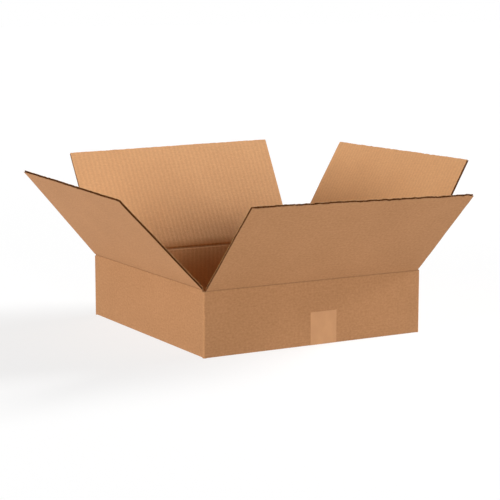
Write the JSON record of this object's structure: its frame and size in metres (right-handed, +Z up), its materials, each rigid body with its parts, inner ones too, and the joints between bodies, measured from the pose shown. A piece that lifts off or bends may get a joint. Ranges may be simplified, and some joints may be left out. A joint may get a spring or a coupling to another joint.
{
  "type": "open corrugated cardboard shipping box",
  "caption": "Shallow square corrugated shipping box standing open, with hinged top flaps folded outwards and a bottom closed with a strip of tape.",
  "frame": {"origin": "on the underside, at the middle of the square box", "axes": "+Z up; +X to the right along the front wall; the front wall, which the tape runs up, faces -Y"},
  "size_m": [0.6536, 0.6694, 0.2889],
  "materials": {
    "board": "plain brown kraft board, matt",
    "tape": "tan packing tape, satin"
  },
  "bodies": {
    "box": {"box_body": "board", "seam_tape": "tape"},
    "front_flap": {"front_flap": "board"},
    "left_flap": {"left_flap": "board"},
    "back_flap": {"back_flap": "board"},
    "right_flap": {"right_flap": "board"}
  },
  "joints": [
    {"name": "front_flap_fold", "type": "hinge", "parent": "box", "child": "front_flap", "pos_m": [0, -0.20715, 0.1072], "axis": [1, 0, 0], "range_deg": [-138.6, 74.4]},
    {"name": "left_flap_fold", "type": "hinge", "parent": "box", "child": "left_flap", "pos_m": [-0.2057, 0, 0.10975], "axis": [0, -1, 0], "range_deg": [-130.7, 77.8]},
    {"name": "back_flap_fold", "type": "hinge", "parent": "box", "child": "back_flap", "pos_m": [0, 0.20715, 0.1072], "axis": [-1, 0, 0], "range_deg": [-124.4, 88.6]},
    {"name": "right_flap_fold", "type": "hinge", "parent": "box", "child": "right_flap", "pos_m": [0.2057, 0, 0.10975], "axis": [0, 1, 0], "range_deg": [-118.4, 90.1]}
  ]
}
